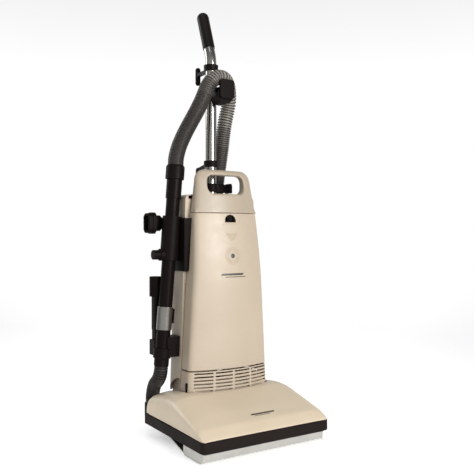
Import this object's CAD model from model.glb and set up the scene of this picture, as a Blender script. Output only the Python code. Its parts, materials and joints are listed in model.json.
"""An upright vacuum cleaner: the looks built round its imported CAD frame.

Sizes are in millimetres and depths are measured back from the bumper's front edge, as in the CAD
source; place() turns them into metres in the row frame.
"""
import json
import math

import bpy
import numpy as np
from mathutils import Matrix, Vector
from mathutils.geometry import delaunay_2d_cdt


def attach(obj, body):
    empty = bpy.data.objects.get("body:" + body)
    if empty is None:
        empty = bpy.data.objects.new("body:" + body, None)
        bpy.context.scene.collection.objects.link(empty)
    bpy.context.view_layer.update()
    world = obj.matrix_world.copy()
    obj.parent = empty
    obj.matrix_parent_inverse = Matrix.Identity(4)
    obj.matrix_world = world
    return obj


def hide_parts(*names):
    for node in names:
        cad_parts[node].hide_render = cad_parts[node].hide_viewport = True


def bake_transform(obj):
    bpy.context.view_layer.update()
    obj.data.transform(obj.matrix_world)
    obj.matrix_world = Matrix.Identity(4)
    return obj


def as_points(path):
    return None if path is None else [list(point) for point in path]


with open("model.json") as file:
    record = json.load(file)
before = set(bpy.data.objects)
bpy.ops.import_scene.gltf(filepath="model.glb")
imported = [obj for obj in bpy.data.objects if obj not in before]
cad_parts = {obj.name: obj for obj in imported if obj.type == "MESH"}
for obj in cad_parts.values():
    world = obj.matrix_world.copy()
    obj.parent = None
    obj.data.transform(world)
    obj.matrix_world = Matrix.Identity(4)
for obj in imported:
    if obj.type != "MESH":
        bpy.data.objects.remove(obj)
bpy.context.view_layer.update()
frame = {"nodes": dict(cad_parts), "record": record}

FRONT_EDGE = 172
rng = np.random.default_rng(7)


def place(points):
    """Points (x, depth, height) in mm, as metres in the row frame."""
    p = np.array(points, float).reshape(-1, 3)
    p[:, 1] -= FRONT_EDGE
    return p / 1000


def spot(x, d, z):
    return tuple(place([[x, d, z]])[0])


# ---- Camera ----

VIEW_ANGLE = math.radians(32.7)
camera = bpy.data.objects.new("camera", bpy.data.cameras.new("camera"))
bpy.context.scene.collection.objects.link(camera)
camera.location = (-0.874, -1.3935, 0.500)
camera.rotation_euler = (math.pi / 2, 0, -VIEW_ANGLE)
camera.data.lens = 49.67
camera.data.sensor_width = 36
bpy.context.scene.camera = camera


# ---- Materials ----

class Nodes:
    """A material's node tree, with the few steps that the recipes share."""

    def __init__(self, name):
        self.material = bpy.data.materials.new(name)
        self.material.use_nodes = True
        self.tree = self.material.node_tree
        self.shader = self.tree.nodes["Principled BSDF"]
        self.place = self.add("ShaderNodeTexCoord").outputs["Object"]

    def add(self, kind, **settings):
        node = self.tree.nodes.new(kind)
        for key, value in settings.items():
            setattr(node, key, value)
        return node

    def join(self, start, end):
        self.tree.links.new(start, end)

    def noise(self, scale, detail=3.0, rough=0.5, stretch=None):
        """A noise pattern; scale is in waves per metre."""
        node = self.add("ShaderNodeTexNoise")
        node.inputs["Scale"].default_value = scale
        node.inputs["Detail"].default_value = detail
        node.inputs["Roughness"].default_value = rough
        source = self.place
        if stretch:
            mapping = self.add("ShaderNodeMapping")
            mapping.inputs["Scale"].default_value = stretch
            self.join(source, mapping.inputs["Vector"])
            source = mapping.outputs["Vector"]
        self.join(source, node.inputs["Vector"])
        return node.outputs["Fac"]

    def spread(self, value, low, high, start=0.3, end=0.7):
        """value, mapped from start..end to low..high."""
        node = self.add("ShaderNodeMapRange")
        for key, number in zip(("From Min", "From Max", "To Min", "To Max"), (start, end, low, high)):
            node.inputs[key].default_value = number
        self.join(value, node.inputs["Value"])
        return node.outputs["Result"]

    def mix(self, share, a, b):
        """Colour a, moved towards colour b by share."""
        node = self.add("ShaderNodeMix", data_type="RGBA")
        self.join(share, node.inputs["Factor"])
        for socket, colour in ((node.inputs[6], a), (node.inputs[7], b)):
            if isinstance(colour, tuple):
                socket.default_value = (*colour, 1)
            else:
                self.join(colour, socket)
        return node.outputs[2]

    def bump(self, height, strength, distance, below=None):
        node = self.add("ShaderNodeBump")
        node.inputs["Strength"].default_value = strength
        node.inputs["Distance"].default_value = distance
        self.join(height, node.inputs["Height"])
        if below:
            self.join(below, node.inputs["Normal"])
        return node.outputs["Normal"]

    def crevices(self, reach):
        """0 on open surfaces and 1 deep in corners."""
        node = self.add("ShaderNodeAmbientOcclusion", samples=6)
        node.inputs["Distance"].default_value = reach
        return self.spread(node.outputs["AO"], 1, 0, 0.25, 0.8)

    def worn_edges(self, radius):
        """1 along convex edges and 0 elsewhere."""
        rounded = self.add("ShaderNodeBevel", samples=4)
        rounded.inputs["Radius"].default_value = radius
        plain = self.add("ShaderNodeNewGeometry")
        dot = self.add("ShaderNodeVectorMath", operation="DOT_PRODUCT")
        self.join(rounded.outputs["Normal"], dot.inputs[0])
        self.join(plain.outputs["Normal"], dot.inputs[1])
        return self.spread(dot.outputs["Value"], 1, 0, 0.9, 0.99)

    def set(self, **inputs):
        for key, value in inputs.items():
            socket = self.shader.inputs[key.replace("_", " ")]
            if hasattr(value, "node"):
                self.join(value, socket)
            else:
                socket.default_value = value
        return self.material


def shade(colour, factor):
    return tuple(min(1.0, c * factor) for c in colour)


def moulded(name, colour, rough, grain=0.15, grain_size=1500, dirt=0.55, wear=1.25, gloss=0.5):
    """Moulded plastic: slow tone changes, fine grain, grime in the corners and edges shaded by wear."""
    n = Nodes(name)
    tone = n.mix(n.spread(n.noise(9, 4), 0, 1), shade(colour, 0.955), shade(colour, 1.03))
    tone = n.mix(n.spread(n.noise(420, 2), 0, 0.25, 0.55, 0.75), tone, shade(colour, 0.86))
    tone = n.mix(n.spread(n.crevices(0.012), 0, dirt, 0, 1), tone, shade(colour, 0.5))
    tone = n.mix(n.spread(n.worn_edges(0.0012), 0, 0.5, 0, 1), tone, shade(colour, wear))
    finish = n.spread(n.noise(35, 5, 0.6), rough - 0.05, rough + 0.08)
    coarse = n.bump(n.noise(60, 2), 0.10, 0.0006)
    fine = n.bump(n.noise(grain_size, 2), grain, 0.0002, coarse)
    return n.set(Base_Color=tone, Roughness=finish, Normal=fine, Specular_IOR_Level=gloss)


def metal(name, colour, rough, stretch=(1, 1, 1), scratch=0.05):
    """Bare or plated metal with fine drawn lines."""
    n = Nodes(name)
    tone = n.mix(n.spread(n.noise(30, 4), 0, 1), shade(colour, 0.9), shade(colour, 1.04))
    lines = n.noise(900, 3, 0.6, stretch)
    finish = n.spread(lines, rough, rough + 0.1)
    normal = n.bump(lines, scratch, 0.0001)
    return n.set(Base_Color=tone, Roughness=finish, Normal=normal, Metallic=1.0)


def fibrous(name, colour, scale, rough=0.85, depth=0.0005):
    """Paper, fleece, foam or bristle: uneven tone and a soft, lit edge."""
    n = Nodes(name)
    tone = n.mix(n.spread(n.noise(scale, 5, 0.7), 0, 1), shade(colour, 0.75), shade(colour, 1.12))
    normal = n.bump(n.noise(scale * 1.7, 4, 0.7), 0.4, depth)
    return n.set(Base_Color=tone, Roughness=rough, Normal=normal, Sheen_Weight=0.25)


CREAM = (0.372, 0.308, 0.234)
BASE_CREAM = (0.515, 0.432, 0.322)
BLACK = (0.0052, 0.0032, 0.0029)
HOSE = (0.022, 0.0175, 0.0150)
HOSE_GAP = (0.225, 0.207, 0.180)

MATERIALS = {
    "cream_body": moulded("cream_body", CREAM, 0.42, 0.10),
    "cream_base": moulded("cream_base", BASE_CREAM, 0.42, 0.10),
    "black_plastic": moulded("black_plastic", BLACK, 0.45, 0.25, dirt=0.2, wear=2.0, gloss=0.06),
    "wand_black": moulded("wand_black", BLACK, 0.36, 0.12, dirt=0.2, wear=1.8, gloss=0.05),
    "black_rubber": moulded("black_rubber", (0.0085, 0.0050, 0.0046), 0.6, 0.35, 900, 0.1, 2.4, 0.1),
    "grip_black": moulded("grip_black", (0.0050, 0.0034, 0.0030), 0.45, 0.4, 700, 0.1, 2.0, 0.09),
    "belt_rubber": moulded("belt_rubber", (0.02, 0.02, 0.02), 0.6, 0.3, 900, 0.1, 1.5, 0.3),
    "tyre_grey": moulded("tyre_grey", (0.06, 0.06, 0.06), 0.65, 0.4, 800, 0.3, 1.6, 0.3),
    "grey_plastic": moulded("grey_plastic", (0.42, 0.41, 0.39), 0.45, 0.2),
    "zinc_plate": metal("zinc_plate", (0.50, 0.49, 0.46), 0.38, (0.2, 1, 1)),
    "steel": metal("steel", (0.55, 0.54, 0.52), 0.32, (1, 1, 0.2)),
    "chrome": metal("chrome", (0.235, 0.225, 0.207), 0.14, (1, 1, 0.05), 0.02),
    "roll_wood": fibrous("roll_wood", (0.36, 0.21, 0.10), 90, 0.5, 0.0002),
    "bristle": fibrous("bristle", (0.46, 0.45, 0.42), 500, 0.55),
    "carbon": moulded("carbon", (0.03, 0.03, 0.032), 0.7, 0.3),
    "bag_paper": fibrous("bag_paper", (0.62, 0.55, 0.42), 260),
    "filter_foam": fibrous("filter_foam", (0.08, 0.08, 0.085), 700, 0.95, 0.001),
    "dark_mark": moulded("dark_mark", (0.035, 0.03, 0.026), 0.4),
    "mark_grey": moulded("mark_grey", (0.33, 0.27, 0.19), 0.5),
    "hose_brown": moulded("hose_brown", HOSE, 0.46, 0.15, 600, 0.3, 1.6, 0.3),
    "hose_black": moulded("hose_black", (0.010, 0.0072, 0.0065), 0.45, 0.15, 600, 0.2, 1.8, 0.14),
}
CAP_CREAM = moulded("cream_cap", shade(CREAM, 0.84), 0.42, 0.10)
GAP_LIGHT = moulded("hose_gap_light", HOSE_GAP, 0.5, 0.15, 600, 0.5, 1.1)
GAP_MIDDLE = moulded("hose_gap_middle", shade(HOSE_GAP, 0.55), 0.5, 0.15, 600, 0.5, 1.1)
GAP_LOW = moulded("hose_gap_low", shade(HOSE_GAP, 0.28), 0.5, 0.15, 600, 0.5, 1.1)
GAP_DARK = moulded("hose_gap_dark", (0.03, 0.025, 0.022), 0.5, 0.15, 600, 0.3, 1.2)


# ---- Mesh work ----

def piece(name, points, faces, body, slot, materials=None, choice=None, crease=35):
    """A closed mesh in mm as a piece that rides on a CAD body."""
    mesh = bpy.data.meshes.new(name)
    mesh.from_pydata(place(points).tolist(), [], [list(map(int, f)) for f in faces])
    for m in materials or [MATERIALS[slot]]:
        mesh.materials.append(m)
    if choice is not None:
        mesh.polygons.foreach_set("material_index", np.array(choice, np.int32))
    obj = bpy.data.objects.new(name, mesh)
    bpy.context.scene.collection.objects.link(obj)
    finish_shading(obj, crease)
    if body:
        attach(obj, body)
    return obj


def finish_shading(obj, crease):
    obj.data.polygons.foreach_set("use_smooth", [True] * len(obj.data.polygons))
    obj.data.set_sharp_from_angle(angle=math.radians(crease))
    obj.data.update()


def join_rings(count, size, closed=False):
    """Quads between count rings of size points, with a face over each open end."""
    faces = []
    for i in range(count if closed else count - 1):
        a, b = i * size, (i + 1) % count * size
        faces += [(a + j, a + (j + 1) % size, b + (j + 1) % size, b + j) for j in range(size)]
    if not closed:
        faces.append(tuple(range(size))[::-1])
        faces.append(tuple((count - 1) * size + j for j in range(size)))
    return faces


def loft(name, rings, body, slot, crease=35):
    rings = [np.asarray(r, float) for r in rings]
    return piece(name, np.vstack(rings), join_rings(len(rings), len(rings[0])), body, slot, crease=crease)


def cut(obj, *tools, crease=35, mode="DIFFERENCE"):
    """Takes the tools out of obj for good and deletes them."""
    for tool in tools:
        m = obj.modifiers.new("cut", "BOOLEAN")
        m.operation, m.solver, m.object = mode, "EXACT", tool
    graph = bpy.context.evaluated_depsgraph_get()
    mesh = bpy.data.meshes.new_from_object(obj.evaluated_get(graph))
    obj.modifiers.clear()
    old, obj.data = obj.data, mesh
    bpy.data.meshes.remove(old)
    for tool in tools:
        bpy.data.objects.remove(tool)
    finish_shading(obj, crease)
    return obj


def block(x, d, z, slot="black_plastic"):
    """A box used as a tool: pairs of limits in x, depth and height."""
    ring = lambda h: [(x[0], d[0], h), (x[1], d[0], h), (x[1], d[1], h), (x[0], d[1], h)]
    return loft("tool", [ring(z[0]), ring(z[1])], None, slot)


def rod(a, b, radius, sides=48):
    """A cylinder used as a tool, from point a to point b."""
    a, b = np.array(a, float), np.array(b, float)
    axis = (b - a) / np.linalg.norm(b - a)
    side = np.cross(axis, [0, 0, 1] if abs(axis[2]) < 0.9 else [1, 0, 0])
    side /= np.linalg.norm(side)
    other = np.cross(axis, side)
    turn = np.linspace(0, 2 * np.pi, sides, endpoint=False)[:, None]
    ring = radius * (np.cos(turn) * side + np.sin(turn) * other)
    return loft("tool", [a + ring, b + ring], None, "black_plastic")


def turned(name, start, axis, profile, body, slot, sides=72, crease=35):
    """A closed solid of revolution: profile is [radius, distance along the axis], run round its section."""
    axis = np.array(axis, float) / np.linalg.norm(axis)
    side = np.cross(axis, [0, 1, 0] if abs(axis[1]) < 0.9 else [1, 0, 0])
    side /= np.linalg.norm(side)
    other = np.cross(axis, side)
    turn = np.linspace(0, 2 * np.pi, sides, endpoint=False)[:, None]
    spoke = np.cos(turn) * side + np.sin(turn) * other
    rings = [np.array(start, float) + axis * h + spoke * r for r, h in profile]
    faces = join_rings(len(rings), sides, closed=True)
    return piece(name, np.vstack(rings), faces, body, slot, crease=crease)


def round_rect(u0, u1, v0, v1, radius, steps=8, along=0):
    """A rounded rectangle, counter-clockwise, with no side longer than along (0 leaves them whole)."""
    points = []
    corners = [(u1 - radius, v0 + radius, -90), (u1 - radius, v1 - radius, 0),
               (u0 + radius, v1 - radius, 90), (u0 + radius, v0 + radius, 180)]
    for cu, cv, start in corners:
        for i in range(steps + 1):
            a = math.radians(start + 90 * i / steps)
            points.append((cu + radius * math.cos(a), cv + radius * math.sin(a)))
    return fill_sides(np.array(points), along)


def fill_sides(points, longest):
    """The same closed line with points added so that no side is longer than longest (0 adds none)."""
    if not longest:
        return points
    made = []
    for a, b in zip(points, np.roll(points, -1, axis=0)):
        n = max(1, int(math.ceil(np.linalg.norm(b - a) / longest)))
        made += [a + (b - a) * i / n for i in range(n)]
    return np.array(made)


def outwards(loop):
    """Each point's mitred outward direction on a counter-clockwise loop."""
    step = np.roll(loop, -1, axis=0) - loop
    step /= np.maximum(np.linalg.norm(step, axis=1), 1e-9)[:, None]
    normal = np.stack([step[:, 1], -step[:, 0]], axis=1)
    before = np.roll(normal, 1, axis=0)
    both = normal + before
    return both / np.maximum(1 + (normal * before).sum(1), 0.35)[:, None]


def inside(points, loops):
    """Which points are inside the first loop and outside the others, by the even-odd rule."""
    odd = np.zeros(len(points), bool)
    for loop in loops:
        a, b = loop, np.roll(loop, -1, axis=0)
        for (ax, ay), (bx, by) in zip(a, b):
            crosses = (ay > points[:, 1]) != (by > points[:, 1])
            if ay != by:
                odd ^= crosses & (points[:, 0] < (bx - ax) * (points[:, 1] - ay) / (by - ay) + ax)
    return odd


def fill(loops, grid):
    """Triangles over a flat area with holes: (all points, faces). The loops' points come first."""
    edge = np.vstack(loops)
    low, high = edge.min(0), edge.max(0)
    us = np.arange(low[0] + grid[0] / 2, high[0], grid[0])
    vs = np.arange(low[1] + grid[1] / 2, high[1], grid[1])
    spots = np.stack(np.meshgrid(us, vs), -1).reshape(-1, 2)
    spots = spots[inside(spots, loops)]
    clear = np.ones(len(spots), bool)
    reach = np.array(grid) * 0.45
    for e in edge:
        clear &= (np.abs(spots - e) > reach).any(1)
    points = np.vstack([edge, spots[clear]])
    links, first = [], 0
    for loop in loops:
        links += [(first + i, first + (i + 1) % len(loop)) for i in range(len(loop))]
        first += len(loop)
    made = delaunay_2d_cdt([Vector(p) for p in points], links, [], 0, 1e-7)
    known = [orig[0] if orig else -1 for orig in made[3]]
    if -1 in known:
        raise ValueError(f"a loop crosses itself near {made[0][known.index(-1)]}")
    faces = np.array([[known[i] for i in f] for f in made[2]])
    middles = points[faces].mean(1)
    return points, faces[inside(middles, loops)]


def sheet(name, surface, thickness, loops, lips, grid, body, slot, back_lip=0.6, bends=5, crease=35):
    """A sheet with holes and rounded rims. loops are the outline, counter-clockwise, then the holes.
    surface(uv, depth) gives points at that depth under the outer face; lips are rim radii."""
    loops = [np.array(l, float) for l in loops]
    loops = [loops[0]] + [l[::-1] for l in loops[1:]]
    lips = [np.broadcast_to(np.asarray(l, float), len(loop))[:, None] for l, loop in zip(lips, loops)]
    ways = [outwards(l) for l in loops]
    deep = lambda uv: thickness(uv) if callable(thickness) else np.full(len(uv), float(thickness))

    def ring(angle, front):
        """All loops at one step round the rim."""
        out, below = [], []
        for loop, lip, way in zip(loops, lips, ways):
            r = lip if front else np.minimum(lip, back_lip)
            uv = loop - way * r * (1 - math.sin(angle))
            sink = (r * (1 - math.cos(angle)))[:, 0]
            out.append(uv)
            below.append(sink if front else deep(uv) - sink)
        return out, np.concatenate(below)

    angles = [math.pi / 2 * i / bends for i in range(bends + 1)]
    rims = [ring(a, True) for a in angles] + [ring(a, False) for a in angles[::-1]]
    front_uv, front_faces = fill(rims[0][0], grid)
    back_uv, back_faces = fill(rims[-1][0], grid)
    size = sum(len(l) for l in loops)
    blocks = [surface(front_uv, np.concatenate([rims[0][1], np.zeros(len(front_uv) - size)]))]
    faces = [tuple(f) for f in front_faces]
    starts = [0]
    count = len(front_uv)
    for uvs, depth in rims[1:-1]:
        starts.append(count)
        blocks.append(surface(np.vstack(uvs), depth))
        count += size
    starts.append(count)
    blocks.append(surface(back_uv, np.concatenate([rims[-1][1], deep(back_uv[size:])])))
    faces += [tuple(count + i for i in f[::-1]) for f in back_faces]
    first = 0
    for loop in loops:
        n = len(loop)
        for a, b in zip(starts, starts[1:]):
            for j in range(n):
                k = (j + 1) % n
                faces.append((a + first + k, a + first + j, b + first + j, b + first + k))
        first += n
    points = np.vstack(blocks)
    return piece(name, points, faces, body, slot, crease=crease)


def normal_of(surface, uv, step=0.05):
    """The outward unit normal of surface(uv) for a domain whose u runs right and v runs up."""
    du = surface(uv + [step, 0]) - surface(uv - [step, 0])
    dv = surface(uv + [0, step]) - surface(uv - [0, step])
    n = np.cross(du, dv)
    return n / np.maximum(np.linalg.norm(n, axis=1), 1e-9)[:, None]


def upright_flat(d):
    """A flat upright surface(uv, depth) at depth d, over x and height."""
    return lambda uv, depth: np.stack([uv[:, 0], d + np.asarray(depth), uv[:, 1]], axis=1)


def sunk(surface):
    """surface(uv) as a surface(uv, depth) that sinks along its own normal."""
    return lambda uv, depth: surface(uv) - normal_of(surface, uv) * np.asarray(depth)[:, None]


# ---- The casing's shape, shared by the grille, the door and the cap ----

CORNER_R = 14
TURN = math.radians(20)
SPLIT = 218
DOOR_LOW, DOOR_HIGH = 173, 560


def casing_front(z):
    return 155 + 35 * (np.maximum(0, np.asarray(z, float) - 380) / 290) ** 1.6


def casing_half(z):
    z = np.asarray(z, float)
    low = 114 - 23 * (z - DOOR_LOW) / (DOOR_HIGH - DOOR_LOW)
    return np.where(z < DOOR_HIGH, low, 91 - (z - DOOR_HIGH) * 0.12)


def bow_edge(z):
    """Half width of the bowed front, where the corner's round starts."""
    return casing_half(z) - CORNER_R * (1 - math.sin(TURN))


def bow(x, z):
    """Depth of the casing's front at (x, z)."""
    px = bow_edge(z)
    return casing_front(z) + px * math.tan(TURN) / 2 * (x / px) ** 2


BOW_U = 100
ARC_U = BOW_U + CORNER_R * (math.pi / 2 - TURN)
SIDE_U = ARC_U + 31


def casing(back):
    """The casing's skin: u runs round it from -SIDE_U to SIDE_U and v is the height."""
    def surface(uv):
        u, z = uv[:, 0], uv[:, 1]
        side, size = np.sign(u), np.abs(u)
        px = bow_edge(z)
        x = px * np.minimum(size, BOW_U) / BOW_U
        d = bow(x, z)
        a = np.clip((size - BOW_U) / CORNER_R, 0, math.pi / 2 - TURN) + TURN
        cx, cy = casing_half(z) - CORNER_R, bow(px, z) + CORNER_R * math.cos(TURN)
        past_bow = size > BOW_U
        x = np.where(past_bow, cx + CORNER_R * np.sin(a), x)
        d = np.where(past_bow, cy - CORNER_R * np.cos(a), d)
        share = (size - ARC_U) / (SIDE_U - ARC_U)
        d = np.where(size > ARC_U, cy + (back - cy) * share, d)
        return np.stack([side * x, d, z], axis=1)
    return surface


def on_front(loop):
    """A loop in (x, height) on the casing's front, as (u, v)."""
    loop = np.array(loop, float)
    return np.stack([loop[:, 0] / bow_edge(loop[:, 1]) * BOW_U, loop[:, 1]], axis=1)


def casing_ring(z, e, back, w=None, front=None, fine=24):
    """The casing's outline at one height, shrunk by e."""
    w = (casing_half(z) if w is None else w) - e
    f = (casing_front(z) if front is None else front) + e
    r = CORNER_R - e
    px = w - r * (1 - math.sin(TURN))
    b = px * math.tan(TURN) / 2
    xs = np.linspace(-px, px, fine * 2 + 1)
    ring = [(x, f + b * (x / px) ** 2, z) for x in xs]
    cy = f + b + r * math.cos(TURN)
    turn = np.linspace(-math.pi / 2 + TURN, 0, 9)[1:]
    ring += [(w - r + r * math.cos(a), cy + r * math.sin(a), z) for a in turn]
    ring += [(w, back, z), (-w, back, z)]
    ring += [(-(w - r + r * math.cos(a)), cy + r * math.sin(a), z) for a in turn[::-1]]
    return np.array(ring)


# ---- Hoses ----

HOSE_ROUTE = [
    (-115.3, 246, 680.6), (-113.7, 246, 700), (-107, 244, 727), (-95, 240, 757), (-80, 236, 787),
    (-64, 232, 817), (-50, 230, 845), (-41, 229, 866), (-33, 229, 884), (-22, 229, 900), (-6, 230, 911),
    (12, 232, 914), (28, 240, 910), (42, 251, 900), (53, 263, 883), (59, 273, 861), (58, 280, 837),
    (54, 284, 810), (51, 289, 775), (49, 294, 738), (47, 301, 700), (45, 308, 662), (44, 313, 626),
    (44, 314, 590), (44, 314, 555), (44, 314, 520)]
SHORT_ROUTE = [
    (-155.5, 246, 180.4), (-156.5, 246, 169), (-157, 250, 156), (-156, 262, 143), (-154, 278, 133),
    (-151, 294, 122), (-148.5, 306, 107), (-147, 314, 90), (-147, 314, 74.4)]


def smooth_route(points, step=0.5):
    """A smooth curve through the points, as even steps along it."""
    p = np.array(points, float)
    p = np.vstack([2 * p[0] - p[1], p, 2 * p[-1] - p[-2]])
    t = np.linspace(0, 1, 40, endpoint=False)[:, None]
    parts = []
    for a, b, c, d in zip(p, p[1:], p[2:], p[3:]):
        parts.append(0.5 * (2 * b + (c - a) * t + (2 * a - 5 * b + 4 * c - d) * t ** 2
                            + (3 * b - a - 3 * c + d) * t ** 3))
    curve = np.vstack(parts + [p[-2][None]])
    for _ in range(30):
        curve[1:-1] = (curve[:-2] + 2 * curve[1:-1] + curve[2:]) / 4
    along = np.concatenate([[0], np.cumsum(np.linalg.norm(np.diff(curve, axis=0), axis=1))])
    marks = np.linspace(0, along[-1], int(along[-1] / step))
    return np.stack([np.interp(marks, along, curve[:, i]) for i in range(3)], axis=1)


# Openings between ribs, in mm, past which a hose's gap takes the next material.
WIDER_GAPS = (1.2, 2.1, 3.2)


def corrugated(name, route, radius, stretch, slot, gap_materials, rib=3.0, sides=40):
    """A ribbed hose whose ribs stand further apart where it is stretched, and its line and length.
    stretch(share of the length) gives the pitch in mm. Wider gaps take a later gap material."""
    line = smooth_route(route)
    length = 0.5 * len(line)
    starts, s = [], 0.0
    while s < length - 2:
        pitch = stretch(s / length)
        starts.append((s, pitch))
        s += pitch
    marks, sizes, kinds = [], [], []
    for s, pitch in starts:
        gap = pitch - rib
        hollow = min(2.6, 0.9 + gap * 0.7)
        for share, size, kind in (
                (0.0, radius - 0.5, 0), (0.25, radius - 0.08, 0), (0.5, radius, 0), (0.75, radius - 0.08, 0),
                (1.0, radius - 0.5, 0)):
            marks.append(s + share * rib)
            sizes.append(size)
            kinds.append(kind)
        for share in (0.12, 0.5, 0.88):
            marks.append(s + rib + share * gap)
            sizes.append(radius - hollow)
            kinds.append(1)
    marks = np.minimum(np.array(marks), length - 0.5)
    at = marks / length * (len(line) - 1)
    centre = np.stack([np.interp(at, np.arange(len(line)), line[:, i]) for i in range(3)], axis=1)
    ahead = np.stack([np.interp(np.clip(at + 2, 0, len(line) - 1), np.arange(len(line)), line[:, i])
                      - np.interp(np.clip(at - 2, 0, len(line) - 1), np.arange(len(line)), line[:, i])
                      for i in range(3)], axis=1)
    ahead /= np.linalg.norm(ahead, axis=1)[:, None]
    side = np.cross(ahead[0], [0, 1, 0.1])
    turn = np.linspace(0, 2 * np.pi, sides, endpoint=False)[:, None]
    rings = []
    for c, t, r in zip(centre, ahead, sizes):
        side = side - t * (side @ t)
        side /= np.linalg.norm(side)
        rings.append(c + r * (np.cos(turn) * side + np.sin(turn) * np.cross(t, side)))
    count = len(rings)
    faces = join_rings(count, sides)
    choice = []
    for i in range(count - 1):
        in_gap = kinds[i] or kinds[i + 1]
        opening = np.interp(marks[i], [m for m, _ in starts], [p for _, p in starts]) - rib
        tone = sum(opening > limit for limit in WIDER_GAPS[:len(gap_materials) - 1])
        choice += [1 + tone if in_gap else 0] * sides
    choice += [0, 0]
    obj = piece(name, np.vstack(rings), faces, None, slot, [MATERIALS[slot], *gap_materials], choice, 60)
    return obj, place(centre), length / 1000


def hose_pitch(share):
    """Tight up the left leg, wide over the hook and down the back, tight again above the inlet."""
    return float(np.interp(share, [0, 0.17, 0.25, 0.30, 0.35, 0.41, 0.48, 0.55, 0.62, 0.70, 0.78, 1],
                           [3.8, 4.0, 4.5, 5.4, 6.6, 7.6, 8.0, 7.4, 6.0, 4.9, 4.2, 3.8]))


main_hose, main_line, main_length = corrugated(
    "stretch_hose", HOSE_ROUTE, 20, hose_pitch, "hose_brown", [GAP_DARK, GAP_LOW, GAP_MIDDLE, GAP_LIGHT])
spot(-112, 246, 720)
spot(-44, 246, 720)
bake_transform(main_hose)
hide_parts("main_hose")
spot(-115.3, 246, 680.6)
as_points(main_line)

base_hose, _, _ = corrugated("base_hose", SHORT_ROUTE, 17.5, lambda share: 4.6, "hose_black", [GAP_DARK])
spot(-150, 280, 172)
spot(-150, 280, 84)
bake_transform(base_hose)
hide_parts("short_hose")


# ---- Hood ----

HOOD_LOW = 55
HALF_W = 178
HOOD_PROFILE = [(0, 55.2), (0.6, 57.2), (4, 60), (12, 66), (27, 77), (48, 84), (75, 94), (107, 104.5),
                (154, 121), (190, 124), (230, 119.5), (262, 113), (280, 108), (288, 102), (292, 90),
                (293, 76), (293, 55.2)]
RECESS_W = 120.4
RECESS_FRONT = 153.8


def hood_side():
    """The hood's side profile as even steps: depth, height and distance along it."""
    p = np.array(HOOD_PROFILE, float)
    along = np.concatenate([[0], np.cumsum(np.linalg.norm(np.diff(p, axis=0), axis=1))])
    marks = np.linspace(0, along[-1], 500)
    line = np.stack([np.interp(marks, along, p[:, i]) for i in (0, 1)], axis=1)
    for _ in range(90):
        line[1:-1] = (line[:-2] + 2 * line[1:-1] + line[2:]) / 4
    return line, np.concatenate([[0], np.cumsum(np.linalg.norm(np.diff(line, axis=0), axis=1))])


HOOD_LINE, HOOD_ALONG = hood_side()
HOOD_SCALE = 100


def hood_surface(uv):
    """u runs across from -200 to 200 with the bend between top and side at 100; v runs back."""
    u, v = uv[:, 0] / HOOD_SCALE, uv[:, 1]
    d = np.interp(v, HOOD_ALONG, HOOD_LINE[:, 0])
    h = np.interp(v, HOOD_ALONG, HOOD_LINE[:, 1]) - HOOD_LOW
    size = np.abs(u)
    a = np.where(size <= 1, np.arctan(np.minimum(size, 1)), math.pi / 2 - np.arctan(np.maximum(2 - size, 0)))
    n = np.interp(d, [0, 107, 200, 293], [8, 7, 5.5, 5.5])
    s, c = np.sin(a), np.cos(a)
    k = (s ** n + c ** n) ** (-1 / n)
    w = HALF_W - 2 - 9 * np.maximum(0, 1 - d / 14) ** 2.2 - 3 * np.clip((d - 265) / 28, 0, 1) ** 2
    return np.stack([np.sign(u) * w * k * s, d, HOOD_LOW + h * k * c], axis=1)


def hood_uv(x, d):
    """The (u, v) of the hood's top at a place in plan."""
    n = np.interp(d, [0, 107, 200, 293], [8, 7, 5.5, 5.5])
    q = np.abs(x) / (HALF_W - 2)
    y = (1 - q ** n) ** (1 / n)
    u = q / y if q < y else 2 - y / q
    rising = HOOD_LINE[:, 0] < 292.6
    return (math.copysign(u, x) * HOOD_SCALE, float(np.interp(d, HOOD_LINE[rising, 0], HOOD_ALONG[rising])))


def path_through(corners, longest):
    """Points along a closed run of corners, from each corner towards the next."""
    return fill_sides(np.array(corners, float), longest)


def hood_outline():
    """Round the hood, with the notch that the body tilts in."""
    end = HOOD_ALONG[-1] - 0.3
    notch = casing_ring(0, 0, 290, RECESS_W, RECESS_FRONT, 16)
    left = [hood_uv(x, d) for x, d, _ in notch[-8:]]
    front = (left + [hood_uv(x, d) for x, d, _ in notch if d < 289][:-8])[::-1]
    right = max(front, key=lambda p: p[0])
    ring = [(-197, 2.0), (197, 2.0), (197, end), (right[0], end), *front, (-right[0], end), (-197, end)]
    return path_through(ring, 5)


hood = sheet("hood_shell", sunk(hood_surface), 2.6, [hood_outline()], [1.3], (3.2, 3.2), "base", "cream_base",
             bends=4)
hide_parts("hood")


# ---- Grille panel, door, cap and rear shell ----

COVER_LOW, COVER_HIGH = 108, 170.2


def panel_outline(low, high, edge=SIDE_U, longest=5, radius=2.4):
    return round_rect(-edge, edge, low, high, radius, 3, longest)


slots = []
for row in range(6):
    low = 121 + 8.5 * row
    for left, right in ((-97, -52), (-47, -2), (3, 48), (53, 108.5)):
        slots.append(round_rect(left, right, low, low + 3.4, 1.6, 5, 6))
slots.append(round_rect(-122, -112.4, 113.6, 143.4, 1.0, 3, 4))
cover = sheet("grille_panel", sunk(casing(SPLIT)), 2.6, [panel_outline(COVER_LOW, COVER_HIGH), *slots],
              [1.2] + [0.7] * len(slots), (4, 3), "upright", "cream_body", bends=3)
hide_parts("motor_cover")

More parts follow.
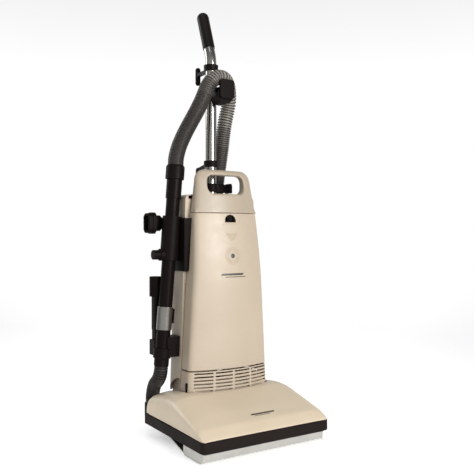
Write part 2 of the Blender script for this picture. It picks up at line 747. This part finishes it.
# The finger recess: a flat foot, and an arc over it.
RECESS_FOOT, RECESS_MIDDLE, RECESS_HALF_W, RECESS_RISE = 537, 541, 16, 15
recess = [(-RECESS_HALF_W, RECESS_FOOT), (RECESS_HALF_W, RECESS_FOOT)]
recess += [(RECESS_HALF_W * math.cos(a), RECESS_MIDDLE + RECESS_RISE * math.sin(a))
           for a in np.linspace(0.12, math.pi - 0.12, 22)]
door = sheet("door_shell", sunk(casing(SPLIT - 0.4)), 3.0,
             [panel_outline(DOOR_LOW + 0.2, DOOR_HIGH, longest=6), fill_sides(on_front(recess), 3)],
             [1.6, 1.4], (4, 5), "door", "cream_body", bends=4)
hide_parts("bag_door")
for where, low in (("low", 175.2), ("high", 555.6)):
    edges = [casing_ring(z, 2.6, SPLIT - 0.8) for z in (low, low + 2.6)]
    loft("door_plate_" + where, edges, "door", "cream_body")
KNUCKLE = [(1.2, 0), (1.9, 0), (2.2, 0.3), (2.2, 4.5), (1.9, 4.8), (1.2, 4.8)]
for side, where in ((-1, "left"), (1, "right")):
    start = (side * 40 - 2.4, 158.3, 172.4)
    turned("door_knuckle_" + where, start, (1, 0, 0), KNUCKLE, "door", "cream_body", 24)


def latch_well():
    """The wall of the D-shaped well that the latch's thumb tab sits in."""
    loop = fill_sides(np.array(recess), 3)
    way = outwards(loop)
    front = bow(loop[:, 0], loop[:, 1]) + 2.4
    back = np.full(len(loop), 176.0)
    rings = []
    for wall, depth in ((0.05, front), (0.05, back), (1.6, back), (1.6, front)):
        spots = loop + way * wall
        rings.append(np.stack([spots[:, 0], depth, spots[:, 1]], axis=1))
    return piece("latch_well", np.vstack(rings), join_rings(4, len(loop), closed=True), "door", "cream_body")


latch_well()
sheet("latch_well_back", upright_flat(184.4), 1.2, [round_rect(-19, 19, 533, 558, 3, 4, 6)], [0.4], (6, 6),
      "door", "black_plastic")

CAP_LOW, CAP_TOP, CAP_BACK = 560.8, 670, 216
outline = [(91.0 - 0.12 * (z - 560), z) for z in np.linspace(CAP_LOW, 600, 10)]
outline += [(86.2 - 5.2 * t, 600 + 43 * t) for t in np.linspace(0.12, 1, 8)]
outline += [(81 - 27 + 27 * math.cos(a), 643 + 27 * math.sin(a)) for a in np.linspace(0.1, math.pi / 2, 14)]
outline += [(-x, z) for x, z in outline[::-1]]
outline = fill_sides(np.array(outline), 4)
cap_lip = np.interp(outline[:, 1], [CAP_LOW, CAP_LOW + 0.5, CAP_LOW + 14, 620, CAP_TOP],
                    [1.2, 1.2, 9, 9, 7.2])
cap_lip = np.where((outline[:, 1] < CAP_LOW + 0.3) & (np.abs(outline[:, 0]) < 89), 1.2, cap_lip)
hand_hole = round_rect(-54, 54, 609, 656, 17, 10, 4)


def cap_surface(uv, depth):
    """The cap's bowed front, which rounds back towards its top."""
    x, z = uv[:, 0], uv[:, 1]
    round_over = 5 * np.clip((z - 640) / 30, 0, 1) ** 2
    return np.stack([x, bow(x, z) + round_over + np.asarray(depth), z], axis=1)


def cap_depth(uv):
    """How thick the cap is, from its front to its flat back."""
    return CAP_BACK - cap_surface(uv, np.zeros(len(uv)))[:, 1]


cap = sheet("carry_cap", cap_surface, cap_depth, [outline, hand_hole], [cap_lip, 5.2], (4, 4), "upright",
            "cream_body", back_lip=5, bends=6)
cap.data.materials[0] = CAP_CREAM
cut(cap, block((-9.5, 9.5), (174, 187), (540, 569.5)))
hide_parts("top_cap")

HOUSING_TOP, SHOULDER, BACK = 607, 14, 290


def housing_ring(z, e, front=SPLIT):
    """The rear shell's outline at one height, shrunk by e, with a rounded shoulder at its top."""
    drop = max(0, z - (HOUSING_TOP - SHOULDER))
    s = SHOULDER - math.sqrt(max(0, SHOULDER ** 2 - drop ** 2))
    w = 117.5 - (z - 130) * 0.0325 - e - s
    r, back = 24 - e, BACK - e - s
    turn = np.linspace(0, math.pi / 2, 13)
    ring = [(-w, front, z), (w, front, z)]
    ring += [(w - r + r * math.cos(a), back - r + r * math.sin(a), z) for a in turn]
    ring += [(-w + r - r * math.cos(a), back - r + r * math.sin(a), z) for a in turn[::-1]]
    return ring


levels = [110, 240, 360, 480, 560, 593] + [593 + 14 * math.sin(a) for a in np.linspace(0.15, 1.57, 12)]
housing = loft("rear_shell", [housing_ring(z, 0) for z in levels], "upright", "cream_body")
hollow = loft("tool", [housing_ring(z, 3, SPLIT - 5) for z in (100, 240, 480, 604)], None, "cream_body")
slots = []
for left in range(-72, 61, 22):
    slot_line = round_rect(left, left + 10, 180, 230, 4.9)
    slots.append(loft("tool", [[(x, d, z) for x, z in slot_line] for d in (270, 310)], None, "cream_body"))
cut(housing, hollow, rod((-130, 222, 84), (130, 222, 84), 64.6), *slots,
    rod((44, 280, 486), (44, 310, 486), 16.4), rod((-70, 280, 520), (-70, 310, 520), 6.3),
    rod((0, 267, 590), (0, 267, 640), 14.8))
soft_edge = housing.modifiers.new("rim", "BEVEL")
soft_edge.width, soft_edge.segments, soft_edge.limit_method = 0.0007, 2, "ANGLE"
soft_edge.angle_limit = math.radians(50)
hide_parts("rear_housing")
sheet("tube_socket", upright_flat(247.6), 39.0, [round_rect(-19, 19, 440, 603, 3, 4, 8)], [2.5], (8, 8),
      "upright", "cream_body", back_lip=0.4)
sheet("chamber_floor", lambda uv, depth: np.stack([uv[:, 0], uv[:, 1], 163 - np.asarray(depth)], axis=1), 3.0,
      [round_rect(-110, 110, SPLIT, 286.6, 3, 4, 8), round_rect(-60, -10, 236, 272, 3)], [0.8, 0.8], (8, 8),
      "upright", "cream_body")

# A narrow frame that closes the gap between the rear shell's mouth and the door and cap.
side_heights = np.linspace(182, 590, 30)
frame_inner = [(float(casing_half(z)) - 6, z) for z in side_heights]
frame_inner += [(-x, z) for x, z in frame_inner[::-1]]
frame_outer = [(115.6 - (z - 130) * 0.0325, z) for z in np.linspace(168, 596, 40)]
frame_outer += [(-x, z) for x, z in frame_outer[::-1]]
frame_loops = [fill_sides(np.array(loop), 8) for loop in (frame_outer, frame_inner)]
sheet("mouth_frame", upright_flat(218.2), 2.4, frame_loops, [0.5, 0.9], (6, 8), "upright", "cream_body",
      bends=2)


# ---- Filter bag ----

def bag_ring(t):
    """The paper bag's outline at a share of its height: side gussets, creases and a little sag."""
    z = 226 + 294 * t
    full = math.sin(math.radians(12 + 156 * t)) ** 0.35
    a = np.linspace(0, 2 * np.pi, 144, endpoint=False)
    crease = (1.6 + 0.5 * np.sin(9 * a + z / 17) + 0.5 * np.sin(5 * a - z / 11 + 2)
              + 0.5 * np.sin(z / 5.2 + 3 * np.sin(2 * a)))
    gusset = 11 * full * np.exp(-(np.sin(a) / 0.17) ** 2)
    x = (76 * full - crease) * np.sign(np.cos(a)) * np.abs(np.cos(a)) ** 0.6 - np.sign(np.cos(a)) * gusset
    return np.stack([x, 214 + (27 * full - crease) * np.sin(a), np.full(144, z)], axis=1)


paper_bag = loft("paper_bag", [bag_ring(t) for t in np.linspace(0, 1, 90)], "upright", "bag_paper", 50)
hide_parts("filter_bag")
COLLAR = [(12, 0), (15, 0), (15.4, 0.6), (15.4, 10), (25, 11), (25.6, 11.6), (25.6, 13), (25, 13.6),
          (12, 13.6)]
turned("bag_collar", (44, 236, 486), (0, 1, 0), COLLAR, "upright", "bag_paper")


# ---- Marks ----

def mark(name, loops, body, slot, height=0.9, base=0.3):
    """A raised shape on the casing's front."""
    surface = lambda uv, depth: np.stack(
        [uv[:, 0], bow(uv[:, 0], uv[:, 1]) - height + np.asarray(depth), uv[:, 1]], axis=1)
    return sheet(name, surface, height + base, loops, [0.3] * len(loops), (3, 3), body, slot,
                 back_lip=0.1, bends=2)


def circle(x, z, r, sides=48):
    a = np.linspace(0, 2 * np.pi, sides, endpoint=False)
    return np.stack([x + r * np.cos(a), z + r * np.sin(a)], axis=1)


BADGE_Z = 453
triangle = fill_sides(np.array([(-17, 508.5), (-3.5, 491.5), (3.5, 491.5), (17, 508.5)]), 3)
door_triangle = mark("door_triangle", [triangle], "door", "mark_grey", 0.5)
mark("door_ledge", [round_rect(-24, 24, 531.2, 533.4, 1, 3, 4)], "door", "cream_body", 0.8)
mark("badge_ring", [circle(0, BADGE_Z, 21.5, 72), circle(0, BADGE_Z, 20.6, 72)], "door", "mark_grey", 0.3)
mark("badge_disc", [circle(0, BADGE_Z, 9.5), circle(0, BADGE_Z, 8.4)], "door", "mark_grey", 0.3)
mark("badge_dot", [circle(0, BADGE_Z, 5.6)], "door", "dark_mark", 0.35)
for i in range(28):
    a = 2 * math.pi * i / 28
    if i % 7 == 0:
        continue
    along, across = np.array([math.cos(a), math.sin(a)]), np.array([-math.sin(a), math.cos(a)])
    centre = np.array([0, BADGE_Z])
    corners = ((13.6, 0.7), (13.6, -0.7), (18.4, -0.7), (18.4, 0.7))
    loop = [centre + along * r + across * w for r, w in corners]
    mark(f"badge_tick_{i:02d}", [np.array(loop)[::-1]], "door", "mark_grey", 0.3)
for i, (left, right, low, high) in enumerate(((-35, 28, 404.5, 409.5), (-24, 35, 399.5, 401.3))):
    loop = fill_sides(np.array([(left, low), (right, low), (right + 3, high), (left + 3, high)]), 4)
    mark(f"door_bar_{i}", [loop], "door", "dark_mark", 0.35)
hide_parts("door_marks")


def hood_bar_surface(uv, depth):
    """A plate just proud of the hood's top, near the hood's middle."""
    top = np.interp(uv[:, 1], HOOD_LINE[:, 0], HOOD_LINE[:, 1])
    return np.stack([uv[:, 0], uv[:, 1], top + 0.35 - np.asarray(depth)], axis=1)


for i, (left, right, near, far) in enumerate(((-21, 45, 45.5, 50.5), (-14, 30, 41.4, 43))):
    loop = fill_sides(np.array([(left, near), (right, near), (right + 2.5, far), (left + 2.5, far)]), 4)
    bar = sheet(f"hood_bar_{i}", hood_bar_surface, 0.7, [loop], [0.25], (3, 3), "base", "dark_mark",
                back_lip=0.1, bends=2)
    if i == 0:
        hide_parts("base_mark")


# ---- Bristles ----

def hairs(name, roots, ways, length, thick, body, slot, spread=0.12):
    """Thin tapering filaments from each root, with a little scatter."""
    points, faces = [], []
    for root, way in zip(roots, ways):
        way = np.array(way) + rng.normal(0, spread, 3)
        way /= np.linalg.norm(way)
        side = np.cross(way, rng.normal(0, 1, 3))
        side /= np.linalg.norm(side)
        other = np.cross(way, side)
        reach = length * rng.uniform(0.93, 1.0)
        first = len(points)
        for share, size in ((0, 1), (1, 0.6)):
            for k in range(4):
                a = math.pi / 2 * k
                spoke = math.cos(a) * side + math.sin(a) * other
                points.append(root + way * reach * share + thick * size * spoke)
        faces += [tuple(first + i for i in f) for f in
                  ((3, 2, 1, 0), (4, 5, 6, 7), (0, 1, 5, 4), (1, 2, 6, 5), (2, 3, 7, 6), (3, 0, 4, 7))]
    return piece(name, np.array(points), faces, body, slot, crease=60)


ROLL = np.array([0, 65, 29])
roots, ways = [], []
for row in range(2):
    for i in range(24):
        a = math.radians(180 * row + 360 * i / 23 + 90)
        way = np.array([0, -math.sin(a), math.cos(a)])
        across = np.array([0, math.cos(a), math.sin(a)])
        middle = ROLL + [-146 + i * 268 / 23, 0, 0] + way * 14.6
        for _ in range(34):
            r, t = 2.3 * math.sqrt(rng.random()), rng.random() * 2 * math.pi
            roots.append(middle + np.array([1, 0, 0]) * r * math.cos(t) + across * r * math.sin(t))
            ways.append(way)
bristles = hairs("brush_tufts", roots, ways, 13.2, 0.26, "brush", "bristle", 0.06)
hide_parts("brush_bristles")

# Pale strips of bristle under the sole's side edges.
roots, ways = [], []
for side in (-1, 1):
    for d in np.arange(26, 104, 0.9):
        for _ in range(3):
            roots.append(np.array([side * (166.7 + rng.normal(0, 0.35)), d + rng.normal(0, 0.4), 8.6]))
            ways.append([side * 0.06, 0, -1])
hairs("edge_bristles", roots, ways, 7.0, 0.3, "base", "bristle", 0.05)

# Soft dark bristles round the dusting brush's mouth.
HEAD = np.array([-157.9, 285, 535])
OUT_WAY = np.array([-1.0, 0, 0])
roots, ways = [], []
for v, d in round_rect(-21, 21, -15, 15, 10, 10, 1.2):
    for _ in range(4):
        up, back = v + rng.normal(0, 0.7), d + rng.normal(0, 0.7)
        roots.append(HEAD + OUT_WAY * 17.6 + np.array([0, back, up]))
        ways.append(OUT_WAY)
hairs("duster_bristles", roots, ways, 3.7, 0.25, "duster", "black_rubber", 0.08)


# ---- The CAD nodes that show ----

SLOT_OF = {p["node"]: p["material_slot"] for p in frame["record"]["subparts"]}
# How far the nodes' edges are rounded, in mm.
EDGE = 0.4
ROUND = {"tool_caddy": 1.6, "port_bracket": 1.6, "bumper": 1.5, "dusting_brush": 1.2, "hose_cuff": 1.2,
         "wand_port": 1.2, "release_pedal": 1.2, "hose_clip": 1.0, "grip": 0.8, "hose_hook": 1.2,
         "upper_cord_hook": 0.9, "lower_cord_hook": 0.9, "crevice_tool": 0.6, "wand_button": 0.8,
         "wand_tube": 0.5}
for name, node in frame["nodes"].items():
    node.data.materials.clear()
    node.data.materials.append(MATERIALS[SLOT_OF[name]])
    if node.hide_render:
        continue
    if "custom_normal" in node.data.attributes:
        node.data.attributes.remove(node.data.attributes["custom_normal"])
    node.data.polygons.foreach_set("use_smooth", [True] * len(node.data.polygons))
    weld = node.modifiers.new("weld", "WELD")
    weld.merge_threshold = 1e-5
    bevel = node.modifiers.new("rim", "BEVEL")
    bevel.width, bevel.segments, bevel.limit_method = ROUND.get(name, EDGE) / 1000, 3, "ANGLE"
    bevel.angle_limit = math.radians(40)
    bevel.harden_normals = True


# ---- Floor and light ----

DIM_GLOW = 0.42
size = 12
floor = bpy.data.objects.new("floor", bpy.data.meshes.new("floor"))
corners = [(-size, -size, 0), (size, -size, 0), (size, size, 0), (-size, size, 0)]
floor.data.from_pydata(corners, [], [(0, 1, 2, 3)])
bpy.context.scene.collection.objects.link(floor)
ground = Nodes("floor")


def studio_glow(tree, direction, join):
    """How bright the studio is towards a direction: a white backdrop before and behind the machine,
    and dimmer walls at its sides."""
    dot = tree.nodes.new("ShaderNodeVectorMath")
    dot.operation = "DOT_PRODUCT"
    dot.inputs[1].default_value = (math.sin(VIEW_ANGLE), math.cos(VIEW_ANGLE), 0)
    either_way = tree.nodes.new("ShaderNodeMath")
    either_way.operation = "ABSOLUTE"
    level = tree.nodes.new("ShaderNodeMapRange")
    for key, number in (("From Min", 0.1), ("From Max", 0.9), ("To Min", DIM_GLOW), ("To Max", 1.0)):
        level.inputs[key].default_value = number
    join(direction, dot.inputs[0])
    join(dot.outputs["Value"], either_way.inputs[0])
    join(either_way.outputs["Value"], level.inputs["Value"])
    return level.outputs["Result"]


flat = ground.add("ShaderNodeVectorMath", operation="NORMALIZE")
ground.join(ground.place, flat.inputs[0])
reach = ground.add("ShaderNodeVectorMath", operation="LENGTH")
ground.join(ground.place, reach.inputs[0])
far = ground.spread(reach.outputs["Value"], 0, 1, 0.5, 2.4)
glow = ground.add("ShaderNodeMix", data_type="FLOAT")
ground.join(far, glow.inputs["Factor"])
glow.inputs[2].default_value = DIM_GLOW
ground.join(studio_glow(ground.tree, flat.outputs["Vector"], ground.join), glow.inputs[3])
near_tone = ground.mix(ground.spread(ground.noise(3, 3), 0, 1), (0.78, 0.78, 0.78), (0.80, 0.80, 0.80))
floor.data.materials.append(ground.set(
    Base_Color=ground.mix(far, near_tone, (0, 0, 0)), Roughness=0.8, Specular_IOR_Level=0.0,
    Emission_Color=(1, 1, 1, 1), Emission_Strength=glow.outputs[0]))


def lamp(name, position, target, width, power, colour=(1, 1, 1)):
    data = bpy.data.lights.new(name, "AREA")
    data.shape, data.size, data.energy, data.color = "SQUARE", width, power, colour
    obj = bpy.data.objects.new(name, data)
    bpy.context.scene.collection.objects.link(obj)
    obj.location = position
    obj.rotation_euler = (Vector(target) - Vector(position)).to_track_quat("-Z", "Y").to_euler()


lamp("key", (0.6, -3.75, 1.35), (0, 0, 0.5), 1.4, 158, (1, 0.99, 0.975))
lamp("top", (-0.6, -0.3, 3.0), (0, 0, 0.5), 1.6, 22)
lamp("back", (-1.6, 2.2, 1.9), (0, 0, 0.6), 1.2, 35)

world = bpy.data.worlds.new("world")
bpy.context.scene.world = world
world.use_nodes = True
tree = world.node_tree
coords = tree.nodes.new("ShaderNodeTexCoord")
split = tree.nodes.new("ShaderNodeSeparateXYZ")
level = tree.nodes.new("ShaderNodeMapRange")
for key, number in (("From Min", 0.25), ("From Max", 0.8), ("To Min", 1.0), ("To Max", 0.35)):
    level.inputs[key].default_value = number
both = tree.nodes.new("ShaderNodeMath")
both.operation = "MULTIPLY"
tree.links.new(coords.outputs["Generated"], split.inputs[0])
tree.links.new(split.outputs["Z"], level.inputs["Value"])
tree.links.new(level.outputs["Result"], both.inputs[0])
tree.links.new(studio_glow(tree, coords.outputs["Generated"], tree.links.new), both.inputs[1])
tree.links.new(both.outputs["Value"], tree.nodes["Background"].inputs["Strength"])
tree.nodes["Background"].inputs["Color"].default_value = (1, 1, 1, 1)
bpy.context.scene.view_settings.view_transform = "Standard"
